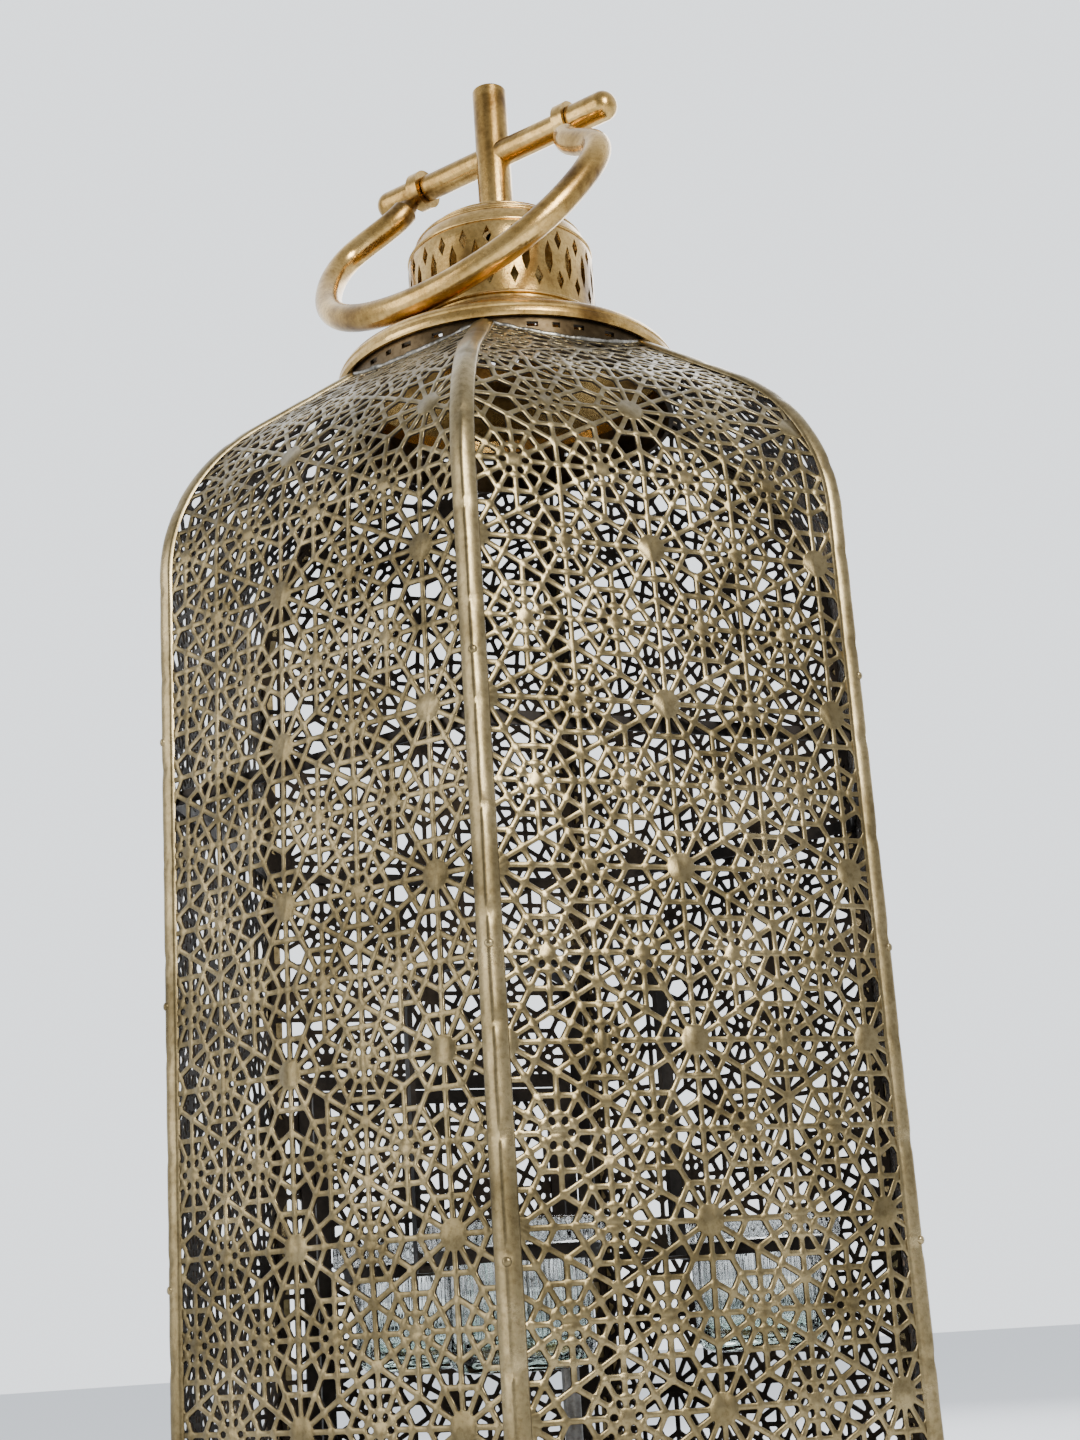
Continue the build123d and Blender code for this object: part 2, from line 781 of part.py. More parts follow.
# Turn button on the frame, hanging down clear of the door; a quarter turn shuts the door
with BuildPart() as latch_button:
    with BuildSketch(face_plane(door_azimuth, apothem + latch_lift)):
        with Locations((-latch_s, latch_z - latch_length / 2)):
            SlotCenterToCenter(latch_length, 2 * latch_half_width, rotation=90)
        with Locations((-latch_s, latch_z)):
            Circle(latch_pivot_radius + running_gap, mode=Mode.SUBTRACT)
    extrude(amount=latch_thickness)
export(latch_button.part, "latch_button")

# Stud with a seat under the button and a head over it
with BuildPart() as latch_pivot:
    head_out = latch_lift + latch_thickness + 0.1
    seat = (latch_pivot_radius + 1.2, 0, latch_lift - 0.1)
    shaft = (latch_pivot_radius, 0, head_out)
    head = (latch_pivot_radius + 1.4, head_out, head_out + 1.2)
    for radius, low, high in (seat, shaft, head):
        with BuildSketch(face_plane(door_azimuth, apothem + low)):
            with Locations((-latch_s, latch_z)):
                Circle(radius)
        extrude(amount=high - low)
export(latch_pivot.part, "latch_pivot")
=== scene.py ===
import json
import math
import bpy
import numpy as np
from mathutils import Matrix, Vector, noise
from mathutils.geometry import delaunay_2d_cdt


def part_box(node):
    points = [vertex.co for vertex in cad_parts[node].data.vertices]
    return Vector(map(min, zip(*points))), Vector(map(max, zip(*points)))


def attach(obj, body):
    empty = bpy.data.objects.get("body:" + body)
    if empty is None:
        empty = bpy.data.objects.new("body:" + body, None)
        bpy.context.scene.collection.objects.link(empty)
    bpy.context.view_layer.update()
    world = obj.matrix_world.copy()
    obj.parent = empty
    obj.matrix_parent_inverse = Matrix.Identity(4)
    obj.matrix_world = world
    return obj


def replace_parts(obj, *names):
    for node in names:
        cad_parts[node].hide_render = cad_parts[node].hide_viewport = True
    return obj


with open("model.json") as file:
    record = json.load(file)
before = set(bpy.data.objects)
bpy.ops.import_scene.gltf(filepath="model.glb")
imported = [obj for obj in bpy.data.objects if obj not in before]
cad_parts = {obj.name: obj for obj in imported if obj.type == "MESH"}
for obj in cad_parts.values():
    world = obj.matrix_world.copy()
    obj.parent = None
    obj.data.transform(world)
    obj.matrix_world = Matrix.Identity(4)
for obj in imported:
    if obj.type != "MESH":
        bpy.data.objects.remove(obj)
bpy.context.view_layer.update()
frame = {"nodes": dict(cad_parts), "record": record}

# ---------------------------------------------------------------- sizes read from the part
GAP = 0.00005  # clearance left between neighbouring pieces
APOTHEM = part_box("panel_right")[1].x
CORNER = APOTHEM / math.cos(math.radians(30))
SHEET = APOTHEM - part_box("panel_right")[0].x
SIDE_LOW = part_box("panel_right")[0].z
SHOULDER_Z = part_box("panel_right")[1].z
NECK_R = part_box("neck_ring")[1].x + 0.0002
NECK_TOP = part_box("neck_ring")[1].z
COLLAR_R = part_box("collar")[1].x
COLLAR_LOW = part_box("collar")[0].z
CHIMNEY_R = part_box("chimney_drum")[1].x
CHIMNEY_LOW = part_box("chimney_drum")[0].z - GAP
CHIMNEY_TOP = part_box("chimney_cap")[1].z
STEM_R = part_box("stem")[1].x
RIB_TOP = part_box("rib_back")[1].z
DOOR_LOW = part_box("door_leaf")[0].z
DOOR_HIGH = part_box("door_leaf")[1].z

# the domed shoulder's side profile, as in the part
DOME_R = 0.1026
DOME_SWEEP = math.radians(51.1)
DOME_ARC = DOME_R * DOME_SWEEP
TAN30 = math.tan(math.radians(30))

# the pierced pattern: a triangular lattice of rosettes
PITCH = 0.224 * CORNER
ROW = PITCH * math.sqrt(3) / 2
FIRST_ROW = SHOULDER_Z - 0.027
STRIP = 0.0023
BEVEL = 0.00028

# parts of a rosette, in pitches: its rim, solid middle, petals and the ovals of an open middle
HEX = 0.408
DISC = 0.16
PETAL_ROOT = 0.215
OVAL_REACH = 0.13
OVAL_LENGTH = 0.044
OVAL_WIDTH = 0.034

# borders left whole round a sheet, and the least opening worth cutting
EDGE_BORDER = 0.0020
LOW_BORDER = 0.004
TOP_BORDER = 0.003
LEAST_AREA = 1.6e-6
LEAST_EDGE = 0.0003
CORNER_CUT = 0.0006

# each side's azimuth in degrees, and how far its pattern is moved sideways
SIDES = {
    "front_right": (-60, -0.0059),
    "right": (0, 0.0210),
    "back_right": (60, -0.0310),
    "back_left": (120, 0.0),
    "left": (180, 0.0120),
    "front_left": (-120, -0.0148),
}


def profile(v):
    """Distance from the axis, height and slope angle at developed height v."""
    over = np.clip(v - SHOULDER_Z, 0.0, DOME_ARC)
    angle = over / DOME_R
    rest = np.maximum(v - SHOULDER_Z - DOME_ARC, 0.0)
    a = APOTHEM - DOME_R + DOME_R * np.cos(angle) - rest * math.sin(DOME_SWEEP)
    z = np.minimum(v, SHOULDER_Z) + DOME_R * np.sin(angle) + rest * math.cos(DOME_SWEEP)
    return a, z, angle


def developed(a):
    """Developed height on the straight slope where the sheet is at distance a."""
    slope_start = APOTHEM - DOME_R + DOME_R * math.cos(DOME_SWEEP)
    return SHOULDER_Z + DOME_ARC + (slope_start - a) / math.sin(DOME_SWEEP)


def half_width(v):
    """Half the width of a side's sheet at developed height v."""
    return profile(np.float64(v))[0] * TAN30 - 0.0005


def top_line(x):
    """Developed height of the sheet's top edge, where it meets the round neck."""
    return developed(math.sqrt(max(NECK_R**2 - x * x, 1e-9)))


# ---------------------------------------------------------------- small polygon tools
def shrink(poly, insets):
    """Convex polygon, counter-clockwise, with each edge moved inward."""
    n = len(poly)
    lines = []
    for i in range(n):
        (x0, y0), (x1, y1) = poly[i], poly[(i + 1) % n]
        length = math.hypot(x1 - x0, y1 - y0)
        nx, ny = -(y1 - y0) / length, (x1 - x0) / length
        lines.append((nx, ny, nx * x0 + ny * y0 + insets[i]))
    out = []
    for i in range(n):
        a, b = lines[i - 1], lines[i]
        det = a[0] * b[1] - a[1] * b[0]
        if abs(det) < 1e-9:
            return []
        out.append(((a[2] * b[1] - a[1] * b[2]) / det, (a[0] * b[2] - a[2] * b[0]) / det))
    return out


def cut(poly, nx, ny, limit):
    """Part of a convex polygon where nx*x + ny*y is at most limit."""
    out = []
    n = len(poly)
    for i in range(n):
        p, q = poly[i], poly[(i + 1) % n]
        dp = nx * p[0] + ny * p[1] - limit
        dq = nx * q[0] + ny * q[1] - limit
        if dp <= 0:
            out.append(p)
        if dp * dq < 0:
            t = dp / (dp - dq)
            out.append((p[0] + t * (q[0] - p[0]), p[1] + t * (q[1] - p[1])))
    return out


def area(poly):
    total = 0.0
    for i in range(len(poly)):
        (x0, y0), (x1, y1) = poly[i - 1], poly[i]
        total += x0 * y1 - x1 * y0
    return total / 2


def soften(poly, radius):
    """Polygon with each corner cut off by a short straight bevel."""
    out = []
    n = len(poly)
    for i in range(n):
        p, before, after = poly[i], poly[i - 1], poly[(i + 1) % n]
        for other in (before, after):
            length = math.hypot(other[0] - p[0], other[1] - p[1])
            t = min(radius, 0.33 * length) / max(length, 1e-9)
            out.append((p[0] + t * (other[0] - p[0]), p[1] + t * (other[1] - p[1])))
    return out


def polar(radius, degrees):
    a = math.radians(degrees)
    return (radius * math.cos(a), radius * math.sin(a))


def oval(j):
    """Small oval opening in the middle of a rosette, at 60*j degrees."""
    cx, cy = polar(OVAL_REACH, 60 * j)
    c, s = polar(1.0, 60 * j)
    points = []
    for k in range(8):
        u, w = polar(1.0, 45 * k + 22.5)
        u, w = OVAL_LENGTH * u, OVAL_WIDTH * w
        points.append((cx + u * c - w * s, cy + u * s + w * c))
    return points


def rosette(solid_middle):
    """Openings round one lattice point, as (polygon, insets), in pitches."""
    root = DISC if solid_middle else PETAL_ROOT
    half = STRIP / 2 / PITCH
    rim = [polar(HEX if j % 2 == 0 else HEX * math.cos(math.radians(30)), 30 * j) for j in range(12)]
    found = []
    for j in range(12):
        petal = [polar(root, 30 * j), rim[j], rim[(j + 1) % 12], polar(root, 30 * (j + 1))]
        found.append((petal, (half, half, half, 0.0)))
    if not solid_middle:
        found += [(oval(j), None) for j in range(6)]
    return found


def between(k, split):
    """Openings beside the lattice edge that leaves the origin at 60*k degrees."""
    half = STRIP / 2 / PITCH
    mid = HEX * math.cos(math.radians(30))
    c, s = polar(1.0, 60 * k)
    found = []
    for side in (1, -1):
        near, far = (HEX, 0.0), (1.0 - HEX, 0.0)
        near_mid = (mid * math.cos(math.pi / 6), side * mid * 0.5)
        far_mid = (1.0 - near_mid[0], near_mid[1])
        top = (0.5, side * TAN30 / 2)
        if split:
            cells = [[near, (0.5, 0.0), top, near_mid], [(0.5, 0.0), far, far_mid, top]]
        else:
            cells = [[near, far, far_mid, top, near_mid]]
        for cell in cells:
            if side < 0:
                cell = cell[::-1]
            turned_cell = [(c * x - s * y, s * x + c * y) for x, y in cell]
            found.append((turned_cell, (half,) * len(turned_cell)))
    return found


ROSETTES = {solid: rosette(solid) for solid in (True, False)}
BETWEEN = {(k, split): between(k, split) for k in range(3) for split in (True, False)}


def is_solid(row, i):
    """Every second rosette of every second row has a solid middle."""
    return row % 2 == 0 and i % 2 == 0


def neighbour(row, i, k):
    """Row and place of the lattice point one pitch away at 60*k degrees."""
    if k == 0:
        return row, i + 1
    return row + 1, i + row % 2 - (k - 1)


def openings(shift, low, high):
    """Every opening of the pattern between two developed heights."""
    found = []
    first = math.floor((low - FIRST_ROW) / ROW) - 1
    last = math.ceil((high - FIRST_ROW) / ROW) + 1
    reach = int(CORNER / 2 / PITCH) + 3
    for row in range(first, last + 1):
        v = FIRST_ROW + row * ROW
        for i in range(-reach, reach + 1):
            x = shift + (i + (0.5 if row % 2 else 0.0)) * PITCH
            solid = is_solid(row, i)
            shapes = list(ROSETTES[solid])
            for k in range(3):
                shapes += BETWEEN[(k, not solid and not is_solid(*neighbour(row, i, k)))]
            for poly, insets in shapes:
                small = shrink(poly, insets) if insets else poly
                found.append([(x + PITCH * px, v + PITCH * py) for px, py in small])
    return found


def fitted(poly, limits):
    """Opening cut to the border lines, with its corners cut; None if too little is left."""
    for nx, ny, limit in limits:
        poly = cut(poly, nx, ny, limit)
        if len(poly) < 3:
            return None
    if area(poly) < LEAST_AREA:
        return None
    kept = []
    for i, p in enumerate(poly):
        if math.hypot(p[0] - poly[i - 1][0], p[1] - poly[i - 1][1]) > LEAST_EDGE:
            kept.append(p)
    if len(kept) < 3:
        return None
    return kept if len(kept) > 6 else soften(kept, CORNER_CUT)


def wave(x, v, seed):
    """Slight unevenness of a sheet worked by hand."""
    return 0.00035 * (
        np.sin(x * 47 + seed) * np.cos(v * 31 + 2 * seed) + 0.6 * np.sin(x * 83 - v * 57 + 3 * seed)
    )


def link(name, verts, faces, body, mats, index=None, sharp=35):
    mesh = bpy.data.meshes.new(name)
    mesh.from_pydata([tuple(p) for p in verts], [], [tuple(f) for f in faces])
    for m in mats:
        mesh.materials.append(m)
    if index is not None:
        mesh.polygons.foreach_set("material_index", np.asarray(index, np.int32))
    mesh.polygons.foreach_set("use_smooth", np.ones(len(mesh.polygons), bool))
    mesh.update()
    mesh.set_sharp_from_angle(angle=math.radians(sharp))
    obj = bpy.data.objects.new(name, mesh)
    bpy.context.scene.collection.objects.link(obj)
    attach(obj, body)
    return obj


def triangulated(name, loops):
    """Corners, bevelled corners, triangles and spans of a flat sheet with openings."""
    flat, ring_edges, spans, grown, owner = [], [], [], [], []
    for number, loop in enumerate(loops):
        start, n = len(flat), len(loop)
        spans.append((start, n))
        owner += [number] * n
        flat += loop
        ring_edges += [(start + i, start + (i + 1) % n) for i in range(n)]
        move = 0.0 if number == 0 else BEVEL
        for i in range(n):
            p, q, r = loop[i - 1], loop[i], loop[(i + 1) % n]
            tx, ty = r[0] - p[0], r[1] - p[1]
            length = max(math.hypot(tx, ty), 1e-9)
            grown.append((q[0] + move * ty / length, q[1] - move * tx / length))
    out = delaunay_2d_cdt([Vector(p) for p in flat], ring_edges, [], 1, 1e-7)
    if len(out[0]) != len(flat):
        raise ValueError(f"{name}: the outline crosses itself ({len(out[0])} {len(flat)})")
    to_old = [old[0] for old in out[3]]
    triangles = np.array([[to_old[i] for i in t] for t in out[2]], int)
    flat, grown, owner = np.array(flat), np.array(grown), np.array(owner)
    ids = owner[triangles]
    in_opening = (ids[:, 0] == ids[:, 1]) & (ids[:, 1] == ids[:, 2]) & (ids[:, 0] > 0)
    triangles = triangles[~in_opening]
    a = flat[triangles]
    turn = np.cross(a[:, 1] - a[:, 0], a[:, 2] - a[:, 0])
    triangles[turn < 0] = triangles[turn < 0][:, ::-1]
    return flat, grown, triangles, spans


def folded(points, depth, azimuth, bow, seed):
    """Places in space of a sheet's developed points, at a depth behind its face."""
    az = math.radians(azimuth)
    outward = np.array([math.cos(az), math.sin(az), 0])
    along = np.array([-math.sin(az), math.cos(az), 0])
    x, v = points[:, 0], points[:, 1]
    dist, z, angle = profile(v)
    share = np.clip((v - SIDE_LOW) / (SHOULDER_Z - SIDE_LOW), 0, 1)
    swell = bow * np.clip(1 - (x / (CORNER / 2)) ** 2, 0, 1) * np.sin(math.pi * share) ** 0.8
    fade = np.clip(1 - np.abs(x) / (CORNER / 2), 0, 0.2) * 5 * (1.0 if bow else 0.3)
    dist = dist + swell + wave(x, v, seed) * fade - depth * np.cos(angle)
    z = z - depth * np.sin(angle)
    return dist[:, None] * outward + x[:, None] * along + z[:, None] * np.array([0, 0, 1.0])


def sheet_mesh(name, azimuth, loops, bow, body):
    """Thin pierced sheet: the first loop is its outline, the others are its openings."""
    flat, grown, triangles, spans = triangulated(name, loops)
    n = len(flat)
    layers = ((grown, 0.0), (flat, BEVEL), (flat, SHEET))
    verts = np.vstack([folded(points, depth, azimuth, bow, azimuth) for points, depth in layers])
    faces = [tuple(t) for t in triangles]
    index = [0] * len(faces)
    back = [tuple(t[::-1] + 2 * n) for t in triangles]
    faces += back
    index += [1] * len(back)
    for number, (start, count) in enumerate(spans):
        for i in range(count):
            p, q = start + i, start + (i + 1) % count
            if number:
                p, q = q, p
            faces.append((q, p, p + n, q + n))
            faces.append((q + n, p + n, p + 2 * n, q + 2 * n))
            index += [0, 1]
    # the sheets' backs and the inner halves of the opening walls get a darkened copy of the side brass:
    # painted shade of the lantern's inside
    mats = [MATS["side_brass"], MATS["inner_painted_shade_brass"]]
    return link(name, verts, faces, body, mats, index, sharp=50)


def side_outline():
    """Outline of a whole side in developed form, counter-clockwise."""
    corner_x = NECK_R * 0.5
    corner_v = top_line(corner_x)
    right = []
    v = SIDE_LOW
    while v < corner_v - 0.002:
        right.append((half_width(v), v))
        v += 0.012 if v < SHOULDER_Z - 0.012 else 0.004
    last_x = half_width(corner_v)
    across = [last_x - 2 * last_x * i / 20 for i in range(21)]
    top = [(x, top_line(x)) for x in across]
    left = [(-x, v) for x, v in reversed(right)]
    bottom_x = half_width(SIDE_LOW)
    bottom = [(-bottom_x + 2 * bottom_x * i / 16, SIDE_LOW) for i in range(1, 16)]
    return right + top + left + bottom


def side_limits(poly):
    """Border lines of a side next to an opening."""
    xc = sum(p[0] for p in poly) / len(poly)
    vc = sum(p[1] for p in poly) / len(poly)
    vc = min(vc, developed(NECK_R * 0.87))
    slope = (half_width(vc + 0.002) - half_width(vc - 0.002)) / 0.004
    edge = half_width(vc) - slope * vc - EDGE_BORDER
    xt = max(-NECK_R * 0.48, min(NECK_R * 0.48, xc))
    tilt = (top_line(xt + 0.001) - top_line(xt - 0.001)) / 0.002
    return [
        (1, -slope, edge),
        (-1, -slope, edge),
        (0, -1, -(SIDE_LOW + LOW_BORDER)),
        (-tilt, 1, top_line(xt) - tilt * xt - TOP_BORDER),
    ]


# ---------------------------------------------------------------- materials
def shader(name):
    m = bpy.data.materials.new(name)
    m.use_nodes = True
    nodes, links = m.node_tree.nodes, m.node_tree.links
    return m, nodes, links, nodes["Principled BSDF"]


def noise_node(nodes, links, coords, scale, detail, rough=0.6):
    n = nodes.new("ShaderNodeTexNoise")
    n.inputs["Scale"].default_value = scale
    n.inputs["Detail"].default_value = detail
    n.inputs["Roughness"].default_value = rough
    links.new(coords, n.inputs["Vector"])
    return n


def ramp_node(nodes, links, factor, stops):
    r = nodes.new("ShaderNodeValToRGB")
    while len(r.color_ramp.elements) < len(stops):
        r.color_ramp.elements.new(0.5)
    for element, (place, colour) in zip(r.color_ramp.elements, stops):
        element.position = place
        element.color = (*colour, 1)
    links.new(factor, r.inputs["Fac"])
    return r


def metal(name, dark, mid, bright, rough, metallic=1.0, blotch=22, grain=420, bump=0.10):
    """Worked metal with blotchy patina, fine grain and uneven polish."""
    m, nodes, links, bsdf = shader(name)
    coords = nodes.new("ShaderNodeTexCoord").outputs["Object"]
    large = noise_node(nodes, links, coords, blotch, 6, 0.62)
    fine = noise_node(nodes, links, coords, grain, 4, 0.7)
    base = ramp_node(nodes, links, large.outputs["Fac"], ((0.34, dark), (0.49, mid), (0.66, bright)))
    specks = ramp_node(nodes, links, fine.outputs["Fac"], ((0.35, (0.62, 0.58, 0.52)), (0.55, (1, 1, 1))))
    mix = nodes.new("ShaderNodeMix")
    mix.data_type = "RGBA"
    mix.blend_type = "MULTIPLY"
    mix.inputs["Factor"].default_value = 0.75
    links.new(base.outputs["Color"], mix.inputs["A"])
    links.new(specks.outputs["Color"], mix.inputs["B"])
    links.new(mix.outputs["Result"], bsdf.inputs["Base Color"])
    polish = nodes.new("ShaderNodeMapRange")
    polish.inputs["From Min"].default_value = 0.3
    polish.inputs["From Max"].default_value = 0.7
    polish.inputs["To Min"].default_value = rough[1]
    polish.inputs["To Max"].default_value = rough[0]
    links.new(large.outputs["Fac"], polish.inputs["Value"])
    links.new(polish.outputs["Result"], bsdf.inputs["Roughness"])
    relief = nodes.new("ShaderNodeBump")
    relief.inputs["Strength"].default_value = bump
    relief.inputs["Distance"].default_value = 0.0006
    links.new(fine.outputs["Fac"], relief.inputs["Height"])
    links.new(relief.outputs["Normal"], bsdf.inputs["Normal"])
    bsdf.inputs["Metallic"].default_value = metallic
    return m


def glass(name, low, high):
    """Pressed glass, greener in the thick foot."""
    m, nodes, links, bsdf = shader(name)
    coords = nodes.new("ShaderNodeTexCoord").outputs["Object"]
    split = nodes.new("ShaderNodeSeparateXYZ")
    links.new(coords, split.inputs["Vector"])
    span = nodes.new("ShaderNodeMapRange")
    span.inputs["From Min"].default_value = low
    span.inputs["From Max"].default_value = high
    links.new(split.outputs["Z"], span.inputs["Value"])
    stops = ((0.0, (0.62, 0.84, 0.74)), (0.22, (0.86, 0.96, 0.92)), (0.6, (0.97, 0.99, 0.98)))
    tint = ramp_node(nodes, links, span.outputs["Result"], stops)
    links.new(tint.outputs["Color"], bsdf.inputs["Base Color"])
    fine = noise_node(nodes, links, coords, 60, 3)
    film = nodes.new("ShaderNodeMapRange")
    film.inputs["To Min"].default_value = 0.01
    film.inputs["To Max"].default_value = 0.09
    links.new(fine.outputs["Fac"], film.inputs["Value"])
    links.new(film.outputs["Result"], bsdf.inputs["Roughness"])
    bsdf.inputs["Transmission Weight"].default_value = 1.0
    bsdf.inputs["IOR"].default_value = 1.5
    return m


# dark, middle and bright colour, smoothest and dullest polish, then metallic and blotch where they differ
METALS = {
    "side_brass": ((0.110, 0.084, 0.040), (0.180, 0.140, 0.070), (0.290, 0.228, 0.120), (0.25, 0.38)),
    # painted shade: a near-black, less metallic copy of the brass for the inside faces of the sheets
    "inner_painted_shade_brass": ((0.010, 0.007, 0.004), (0.022, 0.015, 0.009), (0.045, 0.031, 0.018), (0.5, 0.75), 0.7),
    "rib_brass": ((0.120, 0.090, 0.042), (0.230, 0.178, 0.090), (0.370, 0.290, 0.155), (0.24, 0.38)),
    "base_brass": ((0.085, 0.055, 0.025), (0.210, 0.147, 0.075), (0.370, 0.272, 0.150), (0.26, 0.48)),
    "gold_brass": ((0.130, 0.070, 0.020), (0.420, 0.262, 0.082), (0.700, 0.470, 0.180), (0.16, 0.36)),
    "neck_brass": ((0.018, 0.012, 0.006), (0.055, 0.038, 0.020), (0.130, 0.092, 0.050), (0.34, 0.6)),
    "dark_iron": ((0.006, 0.005, 0.004), (0.016, 0.012, 0.009), (0.040, 0.031, 0.023), (0.4, 0.65), 0.75),
    "steel": ((0.08, 0.075, 0.07), (0.20, 0.19, 0.175), (0.34, 0.33, 0.31), (0.24, 0.45)),
    "solder": ((0.09, 0.085, 0.075), (0.24, 0.23, 0.20), (0.42, 0.40, 0.37), (0.24, 0.46), 1.0, 160),
}
MATS = {name: metal(name, *row) for name, row in METALS.items()}
cup_low, cup_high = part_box("cup_right")
MATS["cup_glass"] = glass("cup_glass", cup_low.z, cup_high.z)

slots = {row["node"]: row["material_slot"] for row in frame["record"]["subparts"]}
for node_name, node in frame["nodes"].items():
    node.data.materials.clear()
    node.data.materials.append(MATS[slots[node_name]])

# ---------------------------------------------------------------- pierced sides
DOOR_SIDE = "back_left"
DOOR_HALF = 0.0700
DOOR_GAP = 0.0008
DOOR_BORDER = 0.0028
DOOR_REACH = 0.003  # how far into the doorway an opening's middle may lie and still count as beside it
BOW = 0.0042


def centre_of(poly):
    return sum(p[0] for p in poly) / len(poly), sum(p[1] for p in poly) / len(poly)


def leaf_limits(half):
    """Border lines of the door leaf."""
    return [
        (1, 0, half - DOOR_BORDER),
        (-1, 0, half - DOOR_BORDER),
        (0, 1, DOOR_HIGH - DOOR_BORDER),
        (0, -1, -(DOOR_LOW + DOOR_BORDER)),
    ]


def nearest_doorway_line(poly):
    """How far an opening's middle is past the doorway, and the border line it has to keep to."""
    xc, vc = centre_of(poly)
    outs = (
        (xc - DOOR_HALF, (-1, 0, -(DOOR_HALF + DOOR_BORDER))),
        (-xc - DOOR_HALF, (1, 0, -(DOOR_HALF + DOOR_BORDER))),
        (vc - DOOR_HIGH, (0, -1, -(DOOR_HIGH + DOOR_BORDER))),
        (DOOR_LOW - vc, (0, 1, DOOR_LOW - DOOR_BORDER)),
    )
    return max(outs, key=lambda item: item[0])


def rectangle(half, low, high, parts=12):
    """Rectangle, counter-clockwise, with each edge in equal parts."""
    corners = [(-half, low), (half, low), (half, high), (-half, high)]
    points = []
    for i in range(4):
        p, q = corners[i], corners[(i + 1) % 4]
        for t in range(parts):
            points.append((p[0] + (q[0] - p[0]) * t / parts, p[1] + (q[1] - p[1]) * t / parts))
    return points


def plain_side(name, azimuth, shapes):
    """Side without a door, bulged a little."""
    holes = [fitted(poly, side_limits(poly)) for poly in shapes]
    loops = [side_outline()] + [hole for hole in holes if hole]
    return sheet_mesh(f"pierced_side_{name}", azimuth, loops, BOW, "base")


def door_side(name, azimuth, shapes):
    """Flat side with a doorway, and the door leaf that fills it."""
    leaf_half = DOOR_HALF - DOOR_GAP
    holes, leaf_holes = [], []
    for poly in shapes:
        if fitted(poly, side_limits(poly)) is None:
            continue
        inside = fitted(poly, leaf_limits(leaf_half))
        if inside:
            leaf_holes.append(inside)
        past, line = nearest_doorway_line(poly)
        outside = fitted(poly, side_limits(poly) + [line]) if past > -DOOR_REACH else None
        if outside:
            holes.append(outside)
    leaf = rectangle(leaf_half, DOOR_LOW, DOOR_HIGH)
    door = sheet_mesh("pierced_door", azimuth, [leaf] + leaf_holes, 0.0, "door")
    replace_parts(door, "door_leaf")
    doorway = rectangle(DOOR_HALF, DOOR_LOW - DOOR_GAP, DOOR_HIGH + DOOR_GAP)
    return sheet_mesh(f"pierced_side_{name}", azimuth, [side_outline(), doorway] + holes, 0.0, "base")


for name, (azimuth, shift) in SIDES.items():
    shapes = openings(shift, SIDE_LOW, developed(NECK_R * 0.866))
    make = door_side if name == DOOR_SIDE else plain_side
    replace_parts(make(name, azimuth, shapes), f"panel_{name}", f"dome_{name}")

# ---------------------------------------------------------------- corner strips with a crease
# one wing of a corner strip, in mm: from its ridge along the side, and out of the side
RIB_SECTION = ((6.1, 0.0), (6.1, 1.0), (5.5, 1.5), (2.4, 1.6), (1.1, 1.5), (0.0, 1.25))
DIMPLE_STEP = 0.043
DIMPLE_LENGTH = 0.0026
DIMPLE_DEPTH = 0.00055
DIMPLE_PLACE = 0.0018
DIMPLE_WIDTH = 0.0022
ROUGHNESS = 0.00016
STRIP_STEPS = 300


def strip_point(rib_azimuth, turn, v, d, e):
    """Point on one wing of a corner strip: d from the ridge along the side, e out of it."""
    a, z, angle = (float(t) for t in profile(np.float64(v)))
    out = a + e * math.cos(angle)
    az = math.radians(rib_azimuth + 30 * turn)
    x = -turn * (out * TAN30 - d)
    return (
        out * math.cos(az) - x * math.sin(az),
        out * math.sin(az) + x * math.cos(az),
        z + e * math.sin(angle),
    )


def corner_strip(name, azimuth, seed):
    section = [(1, d / 1000, e / 1000) for d, e in RIB_SECTION]
    section += [(-1, d / 1000, e / 1000) for d, e in reversed(RIB_SECTION[:-1])]
    section.append((1, 0.0, 0.0))
    slope_top = SHOULDER_Z + DOME_ARC
    rise = RIB_TOP - 0.002 - float(profile(np.float64(slope_top))[1])
    top = slope_top + rise / math.cos(DOME_SWEEP)
    verts, faces = [], []
    n = len(section)
    for i in range(STRIP_STEPS + 1):
        v = SIDE_LOW + (top - SIDE_LOW) * i / STRIP_STEPS
        for turn, d, e in section:
            near = (v + seed * 0.007) % DIMPLE_STEP - DIMPLE_STEP / 2
            reach = (near / DIMPLE_LENGTH) ** 2 + ((d - DIMPLE_PLACE) / DIMPLE_WIDTH) ** 2
            dent = DIMPLE_DEPTH * math.exp(-reach)
            rough = ROUGHNESS * noise.noise(Vector((d * 300 * turn, v * 90, seed)))
            lift = e - dent + rough if e > 0.0005 else e
            verts.append(strip_point(azimuth, turn, v, d, lift))
        if i:
            for k in range(n):
                a, b = (i - 1) * n + k, (i - 1) * n + (k + 1) % n
                faces.append((b, a, a + n, b + n))
    faces.append(tuple(range(n)))
    faces.append(tuple(range(STRIP_STEPS * n, (STRIP_STEPS + 1) * n))[::-1])
    strip = link(f"strip_{name}", verts, faces, "base", [MATS["rib_brass"]], sharp=40)
    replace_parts(strip, f"rib_{name}")


RIBS = {
    "front": -90,
    "front_right": -30,
    "back_right": 30,
    "back": 90,
    "back_left": 150,
    "front_left": -150,
}
for seed, (name, azimuth) in enumerate(RIBS.items()):
    corner_strip(name, azimuth, seed)


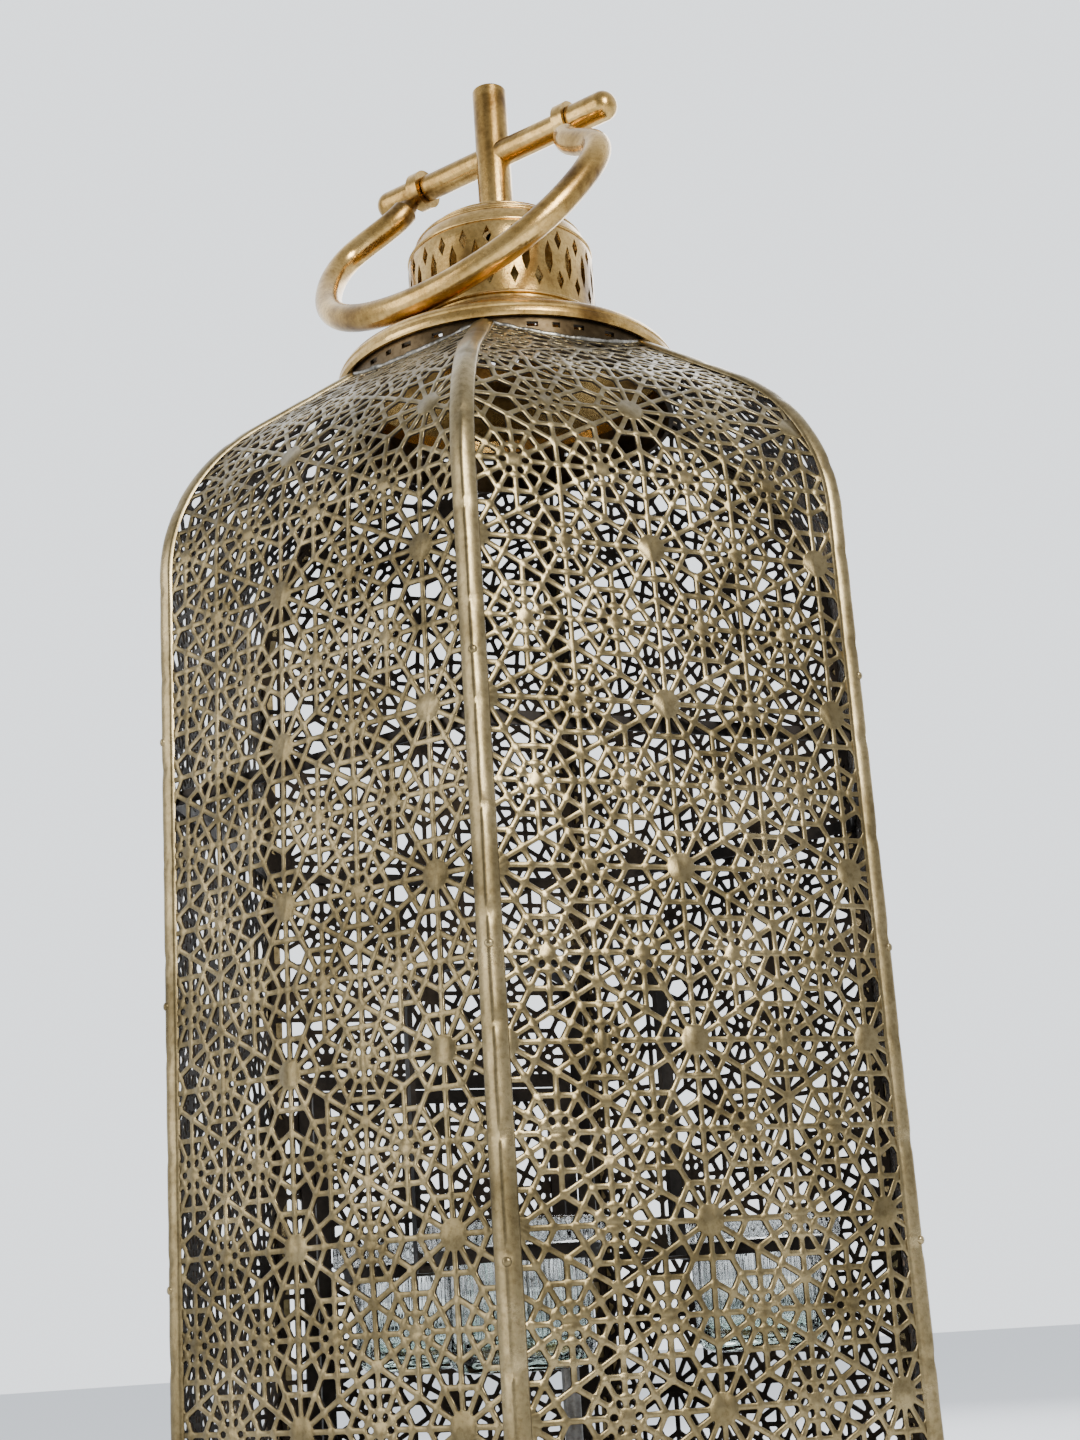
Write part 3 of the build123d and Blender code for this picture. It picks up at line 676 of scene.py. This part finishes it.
# ---------------------------------------------------------------- turned pieces
def turned(name, rings, body, mat, count, centre=(0.0, 0.0), ripple=None, sharp=35):
    """Closed turned solid; rings are (radius, z), a radius of 0 ends it in a point."""
    verts, faces, starts = [], [], []
    for r, z in rings:
        starts.append(len(verts))
        if r < 1e-6:
            verts.append((centre[0], centre[1], z))
            continue
        for k in range(count):
            a = 2 * math.pi * k / count
            rr = r + (ripple(r, z, a) if ripple else 0.0)
            verts.append((centre[0] + rr * math.cos(a), centre[1] + rr * math.sin(a), z))
    total = len(rings)
    open_profile = rings[0][0] < 1e-6
    for i in range(total - 1 if open_profile else total):
        a, b = starts[i], starts[(i + 1) % total]
        first_is_point, second_is_point = rings[i][0] < 1e-6, rings[(i + 1) % total][0] < 1e-6
        for k in range(count):
            q = (k + 1) % count
            if first_is_point:
                faces.append((a, b + q, b + k))
            elif second_is_point:
                faces.append((a + k, a + q, b))
            else:
                faces.append((a + k, a + q, b + q, b + k))
    return link(name, verts, faces, body, [mat], sharp=sharp)


def bead(name, radius, z, thick, rough=0.0):
    """Rounded ring soldered or rolled round the axis."""
    rings = []
    for k in range(10):
        a = 2 * math.pi * k / 10
        rings.append((radius + thick * math.cos(a), z + thick * math.sin(a)))

    def uneven(r, height, a):
        return rough * noise.noise(Vector((math.cos(a) * 9, math.sin(a) * 9, height * 300)))

    return turned(name, rings, "base", MATS["gold_brass"], 192, ripple=uneven, sharp=80)


# spun collar with a rolled lip and fine turned grooves, nowhere outside the part's own collar
rim = (COLLAR_R, COLLAR_LOW + 0.0016)
EDGE = (COLLAR_R - 0.0052, COLLAR_LOW + 0.0100)
collar_top = (CHIMNEY_R + 0.0014, CHIMNEY_LOW)
path = []
for i in range(19):
    a = math.radians(5 * i)
    path.append((EDGE[0] + (rim[0] - EDGE[0]) * math.cos(a), rim[1] + (EDGE[1] - rim[1]) * math.sin(a)))
for i in range(1, 61):
    t = i / 60
    path.append((EDGE[0] + (collar_top[0] - EDGE[0]) * t, EDGE[1] + (collar_top[1] - EDGE[1]) * t))
LIP_GROOVE = (4, 5)
CONE_GROOVES = (20, 21, 24, 25, 68, 69)
outer = []
for i, (r, z) in enumerate(path):
    dip = 0.0
    if i in LIP_GROOVE:
        dip = 0.0007
    if i in CONE_GROOVES:
        dip = 0.0004
    outer.append((r - dip, z - dip * (0.2 if i < 10 else 0.9)))
inner = [
    (CHIMNEY_R - 0.0016, CHIMNEY_LOW),
    (CHIMNEY_R - 0.0016, CHIMNEY_LOW - 0.0014),
    (EDGE[0] - 0.0014, EDGE[1] - 0.0018),
    (NECK_R - 0.0026, NECK_TOP + GAP),
    (NECK_R, NECK_TOP + GAP),
    (NECK_R + 0.0010, COLLAR_LOW),
    (COLLAR_R - 0.0012, COLLAR_LOW),
]


def spun(r, z, a):
    """Slight waviness of the spun sheet, always inward."""
    return -0.00012 + 0.00012 * math.sin(3 * a + r * 40) if z > COLLAR_LOW + 0.001 else 0.0


collar = turned("spun_collar", outer + inner, "base", MATS["gold_brass"], 192, ripple=spun)
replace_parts(collar, "collar")

# beads rolled into the chimney's foot and round top
CROWN_Z = CHIMNEY_LOW + 0.0379
CROWN_ROUND = 0.0250
bead("chimney_foot_bead", CHIMNEY_R + 0.0002, CHIMNEY_LOW + 0.0030, 0.0011)
for number, degrees in enumerate((14, 36, 42, 58, 64)):
    a = math.radians(degrees)
    radius, z = CHIMNEY_R - CROWN_ROUND + CROWN_ROUND * math.cos(a), CROWN_Z + CROWN_ROUND * math.sin(a)
    thick = 0.0009 if number in (0, 4) else 0.00065
    bead(f"chimney_bead_{number}", radius, z, thick)
bead("stem_foot_bead", STEM_R + 0.0006, CHIMNEY_TOP + 0.0004, 0.0016, rough=0.0004)


# rough solder where the sides meet the neck
SEAM_STEPS = 720
SEAM_SIDES = 8
SEAM_SIZE = 0.0011
SEAM_LUMPS = 0.0006
SEAM_GRAIN = 0.0003


def solder_seam():
    """Lumpy ring that follows the sides' wavy top edge round the neck."""
    verts, faces = [], []
    count, around = SEAM_STEPS, SEAM_SIDES
    for i in range(count):
        a = 2 * math.pi * i / count
        local = (math.degrees(a) + 30) % 60 - 30
        dist = NECK_R * math.cos(math.radians(local))
        x = NECK_R * math.sin(math.radians(local))
        z = float(profile(np.float64(developed(dist)))[1])
        lump = noise.noise(Vector((math.cos(a) * 14, math.sin(a) * 14, 3.0)))
        grain = noise.noise(Vector((math.cos(a) * 60, math.sin(a) * 60, 7.0)))
        size = SEAM_SIZE + SEAM_LUMPS * lump + SEAM_GRAIN * grain
        for k in range(around):
            b = 2 * math.pi * k / around
            r = NECK_R + 0.0003 + size * math.cos(b)
            verts.append((r * math.cos(a), r * math.sin(a), z + 1.25 * size * math.sin(b)))
    for i in range(count):
        for k in range(around):
            a, b = i * around + k, i * around + (k + 1) % around
            c, d = ((i + 1) % count) * around + (k + 1) % around, ((i + 1) % count) * around + k
            faces.append((a, d, c, b))
    return link("solder_seam", verts, faces, "base", [MATS["solder"]], sharp=80)


solder_seam()


# ---------------------------------------------------------------- rivet heads
# radius and height of a head's rings, in mm
HEAD_RINGS = ((1.9, -1.0), (1.9, 0.3), (1.6, 0.9), (0.9, 1.3))
HEAD_SIDES = 16


def rivet_heads():
    """Domed heads at the heights where the part has its rivets."""
    verts, faces = [], []
    heights = sorted({round(v.co.z, 3) for v in frame["nodes"]["rib_rivets"].data.vertices})
    rows = []
    for z in heights:
        if not rows or z - rows[-1][-1] > 0.02:
            rows.append([z])
        else:
            rows[-1].append(z)
    for azimuth in RIBS.values():
        az = math.radians(azimuth)
        out, along = Vector((math.cos(az), math.sin(az), 0)), Vector((-math.sin(az), math.cos(az), 0))
        for row in rows:
            z = (row[0] + row[-1]) / 2
            base = len(verts)
            for ring, (radius, lift) in enumerate(HEAD_RINGS):
                for k in range(HEAD_SIDES):
                    a = 2 * math.pi * k / HEAD_SIDES
                    side = along * (radius / 1000 * math.cos(a))
                    place = out * (CORNER + 0.0009 + lift / 1000) + side
                    verts.append((place.x, place.y, z + radius / 1000 * math.sin(a)))
                    if ring:
                        below = base + (ring - 1) * HEAD_SIDES
                        p, q = below + k, below + (k + 1) % HEAD_SIDES
                        faces.append((p, q, q + HEAD_SIDES, p + HEAD_SIDES))
            top = base + (len(HEAD_RINGS) - 1) * HEAD_SIDES
            faces.append(tuple(top + k for k in range(HEAD_SIDES)))
            faces.append(tuple(base + k for k in range(HEAD_SIDES))[::-1])
    heads = link("rivet_heads", verts, faces, "base", [MATS["rib_brass"]], sharp=50)
    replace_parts(heads, "rib_rivets")


rivet_heads()

# ---------------------------------------------------------------- pressed glass cups
CUP_FLOOR = 0.0060
CUP_BORE = 0.0276
CUP_BODY = 0.0306
CUP_FOOT = 0.0090
CUP_WELL = 0.0080
LIP_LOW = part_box("cup_carrier")[1].z
FLUTES = 18
FLUTE_DEPTH = 0.0011
LIP_RIDGES = 56
RIDGE_DEPTH = 0.0007


def arc(cx, cz, radius, first, last, count):
    """Points on a circle's arc, with its angles in degrees."""
    points = []
    for i in range(count + 1):
        a = math.radians(first + (last - first) * i / count)
        points.append((cx + radius * math.cos(a), cz + radius * math.sin(a)))
    return points


def cup(which):
    """Fluted cup with a ridged lip that hangs in its hoop."""
    low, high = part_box(f"cup_{which}")
    centre = ((low.x + high.x) / 2, (low.y + high.y) / 2)
    lip = (high.x - low.x) / 2
    bottom, top = low.z, high.z
    rings = [(0.0, bottom + 0.0010), (0.010, bottom + 0.0008), (0.018, bottom)]
    rings += arc(CUP_BODY - CUP_FOOT, bottom + CUP_FOOT, CUP_FOOT, -90, 0, 8)
    rings += [(CUP_BODY, z) for z in np.linspace(bottom + 0.012, LIP_LOW - 0.001, 14)]
    rings += [(CUP_BODY + 0.0004, LIP_LOW + 0.00002), (lip - 0.002, LIP_LOW + 0.00002)]
    rings += arc(lip - 0.0018, LIP_LOW + 0.0020, 0.0018, -80, 0, 4)
    rings += [(lip, z) for z in np.linspace(LIP_LOW + 0.003, top - 0.002, 5)]
    rings += arc(lip - 0.0014, top - 0.0014, 0.0014, 0, 90, 4)
    rings += arc(lip - 0.0036, top - 0.0010, 0.0010, 90, 150, 3)
    rings += [(CUP_BORE, LIP_LOW - 0.002), (CUP_BORE, bottom + 0.030)]
    rings += arc(CUP_BORE - CUP_WELL, bottom + CUP_FLOOR + CUP_WELL, CUP_WELL, 0, -90, 8)
    rings += [(0.008, bottom + CUP_FLOOR), (0.0, bottom + CUP_FLOOR)]

    def pressed(r, z, a):
        if r > CUP_BODY - 0.004 and bottom + 0.003 < z < LIP_LOW - 0.002 and r > CUP_BORE + 0.0005:
            rise = min(1.0, (z - bottom - 0.003) / 0.008, (LIP_LOW - 0.002 - z) / 0.004)
            return -FLUTE_DEPTH * rise * abs(math.cos(FLUTES * a / 2)) ** 0.6
        if r > lip - 0.0012 and LIP_LOW + 0.001 < z < top - 0.0005:
            return -RIDGE_DEPTH * (0.5 + 0.5 * math.cos(LIP_RIDGES * a))
        return 0.0

    rings = [(float(r), float(z)) for r, z in rings]
    mat = MATS["cup_glass"]
    made = turned(f"glass_{which}", rings, f"cup_{which}", mat, 336, centre, pressed, 60)
    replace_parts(made, f"cup_{which}")


for which in ("right", "front", "left"):
    cup(which)

# ---------------------------------------------------------------- stage, light and camera
floor_mat, nodes, links, bsdf = shader("floor")
bsdf.inputs["Base Color"].default_value = (0.78, 0.80, 0.83, 1)
bsdf.inputs["Roughness"].default_value = 0.9
bpy.ops.mesh.primitive_circle_add(vertices=96, radius=9.0, fill_type="NGON")
floor = bpy.context.object
floor.name = "floor"
floor.data.materials.append(floor_mat)

world = bpy.data.worlds.new("studio")
bpy.context.scene.world = world
world.use_nodes = True
nodes, links = world.node_tree.nodes, world.node_tree.links
sky = nodes.new("ShaderNodeTexCoord")
split = nodes.new("ShaderNodeSeparateXYZ")
links.new(sky.outputs["Generated"], split.inputs["Vector"])
depth = nodes.new("ShaderNodeMapRange")
depth.inputs["From Min"].default_value = -0.7
depth.inputs["From Max"].default_value = 0.75
links.new(split.outputs["Y"], depth.inputs["Value"])
SKY = ((0.0, (0.24, 0.25, 0.27)), (0.45, (0.46, 0.48, 0.51)), (0.8, (0.86, 0.90, 0.94)))
shade = ramp_node(nodes, links, depth.outputs["Result"], SKY)
links.new(shade.outputs["Color"], nodes["Background"].inputs["Color"])
nodes["Background"].inputs["Strength"].default_value = 2.0


def softbox(name, place, target, width, power, colour=(1, 1, 1)):
    data = bpy.data.lights.new(name, "AREA")
    data.shape = "RECTANGLE"
    data.size = width
    data.size_y = width * 1.3
    data.energy = power
    data.color = colour
    lamp = bpy.data.objects.new(name, data)
    lamp.location = place
    direction = Vector(target) - Vector(place)
    lamp.rotation_euler = direction.to_track_quat("-Z", "Y").to_euler()
    bpy.context.scene.collection.objects.link(lamp)


middle = (0, 0, SHOULDER_Z)
softbox("key", (0.9, -1.6, 1.25), middle, 0.7, 58, (1.0, 0.985, 0.94))
softbox("fill", (-1.8, -1.1, 0.9), middle, 1.2, 20)
softbox("back", (0.4, 1.8, 1.5), middle, 1.4, 34)

YAW = math.radians(6.32)
TILT_UP = math.radians(16.0)
ROLL = math.radians(-3.72)
camera_data = bpy.data.cameras.new("camera")
camera_data.sensor_width = 36
camera_data.lens = 52.16
camera = bpy.data.objects.new("camera", camera_data)
level = Vector((-math.sin(YAW), math.cos(YAW), 0))
forward = math.cos(TILT_UP) * level + Vector((0, 0, math.sin(TILT_UP)))
right = Vector((math.cos(YAW), math.sin(YAW), 0))
up = right.cross(forward)
cam_x = math.cos(ROLL) * right + math.sin(ROLL) * up
cam_y = -math.sin(ROLL) * right + math.cos(ROLL) * up
place = Vector((0.630 * CORNER, -5.414 * CORNER, FIRST_ROW - 1.7355 * CORNER))
camera.matrix_world = Matrix.Translation(place) @ Matrix((cam_x, cam_y, -forward)).transposed().to_4x4()
bpy.context.scene.collection.objects.link(camera)
bpy.context.scene.camera = camera
